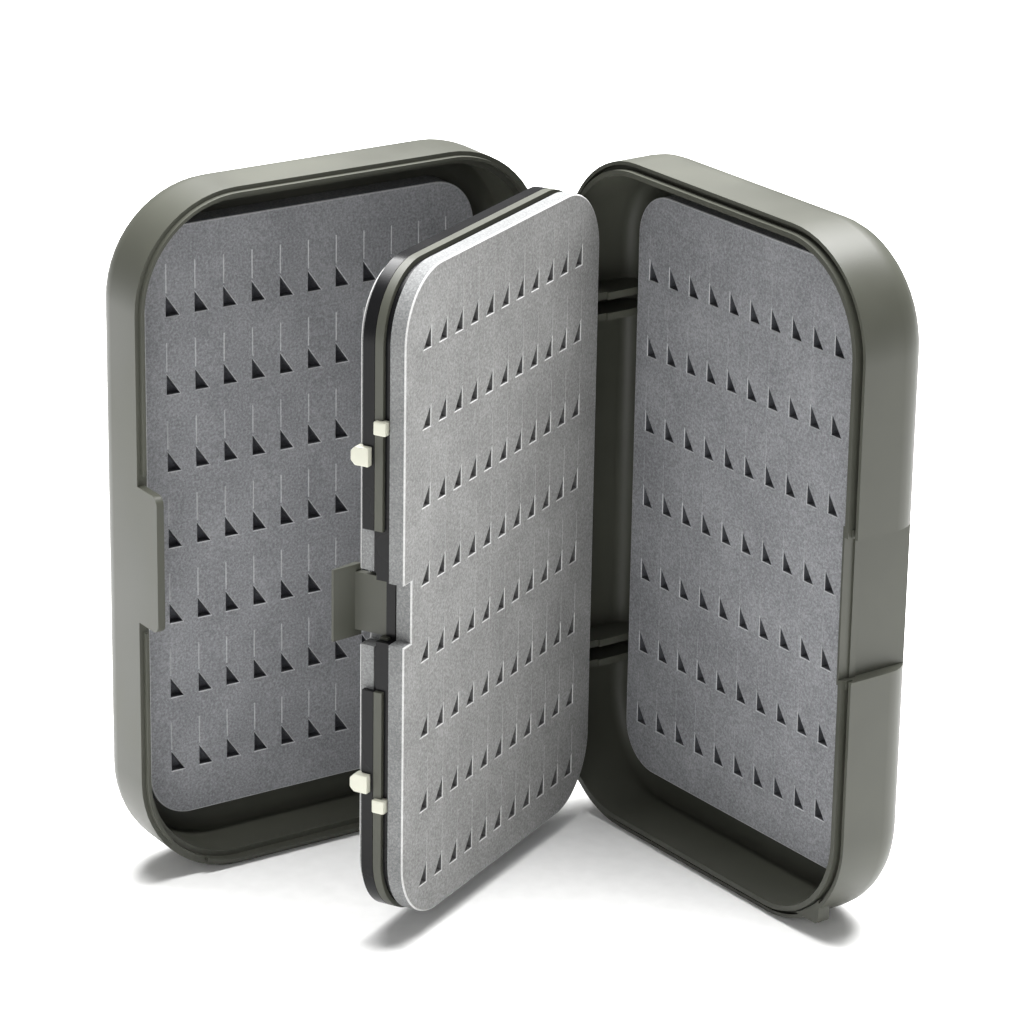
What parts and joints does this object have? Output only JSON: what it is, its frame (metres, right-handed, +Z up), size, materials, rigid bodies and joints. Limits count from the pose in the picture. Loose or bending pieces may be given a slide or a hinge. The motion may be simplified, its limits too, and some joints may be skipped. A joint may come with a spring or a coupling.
{
  "type": "fly box",
  "caption": "Two-sided pocket case for fishing flies: two hinged plastic half shells with slit foam, and a double-sided foam leaf that swings between them.",
  "frame": {"origin": "middle of the footprint, on the surface that the box stands on", "axes": "+Z up along the box's length, +Y out of the base's back, -Y out of the base's opening, +X from the base's hinge side to its latch side; the lid and the leaf stand open"},
  "size_m": [0.1256, 0.1222, 0.152],
  "materials": {
    "olive_plastic": "satin moulded",
    "black_plastic": "gloss moulded",
    "ivory_plastic": "satin moulded",
    "shell_foam": "matt closed-cell foam",
    "leaf_foam": "matt closed-cell foam",
    "adhesive_film": "matt",
    "pin_steel": "bright drawn"
  },
  "bodies": {
    "base": {"base_shell": "olive_plastic", "base_foam_glue": "adhesive_film", "base_foam": "shell_foam", "hinge_pin_lower": "pin_steel", "hinge_pin_upper": "pin_steel", "pivot_pin_lower": "pin_steel", "pivot_pin_upper": "pin_steel"},
    "lid": {"lid_shell": "olive_plastic", "lid_foam_glue": "adhesive_film", "lid_foam": "shell_foam"},
    "leaf": {"leaf_plate": "olive_plastic", "leaf_tray": "black_plastic", "leaf_backing": "black_plastic", "leaf_glue_left": "adhesive_film", "leaf_foam_left": "leaf_foam", "leaf_glue_right": "adhesive_film", "leaf_foam_right": "leaf_foam", "clip_right_lower": "ivory_plastic", "clip_left_lower": "ivory_plastic", "clip_right_upper": "ivory_plastic", "clip_left_upper": "ivory_plastic"}
  },
  "joints": [
    {"name": "lid_hinge", "type": "hinge", "parent": "base", "child": "lid", "pos_m": [-0.04067, 0.04262, 0.076], "axis": [0, 0, 1], "range_deg": [-57.8, 92.2]},
    {"name": "leaf_hinge", "type": "hinge", "parent": "base", "child": "leaf", "pos_m": [-0.02947, 0.04262, 0.076], "axis": [0, 0, 1], "range_deg": [-40.3, 64.25]}
  ],
  "couplings": [
    {"joint": "leaf_hinge", "follows": "lid_hinge", "ratio": 0.6963}
  ]
}
